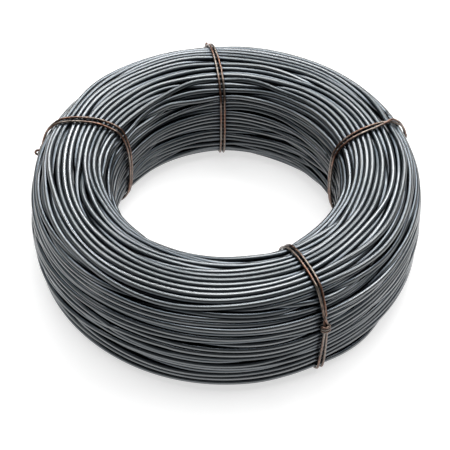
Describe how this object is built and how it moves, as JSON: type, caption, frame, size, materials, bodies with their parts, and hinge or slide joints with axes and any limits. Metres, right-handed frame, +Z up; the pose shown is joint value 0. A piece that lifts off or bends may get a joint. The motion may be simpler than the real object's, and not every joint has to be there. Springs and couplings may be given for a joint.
{
  "type": "coil of wire rod",
  "caption": "Round coil of drawn steel wire lying flat, with an open eye and doubled tie wires twisted round its section",
  "frame": {"origin": "on the coil's axis, at the floor it lies on", "axes": "+Z up along the coil's axis, -Y towards the front, +X to the right"},
  "size_m": [0.4031, 0.4022, 0.119],
  "materials": {
    "coil_wire": "drawn, dark grey, slightly blue, semi-gloss",
    "tie_wire": "annealed, coppery brown, dull sheen"
  },
  "bodies": {
    "root": {"wire_coil": "coil_wire", "tie_right": "tie_wire", "tie_back": "tie_wire", "tie_left": "tie_wire", "tie_front": "tie_wire"}
  },
  "joints": []
}
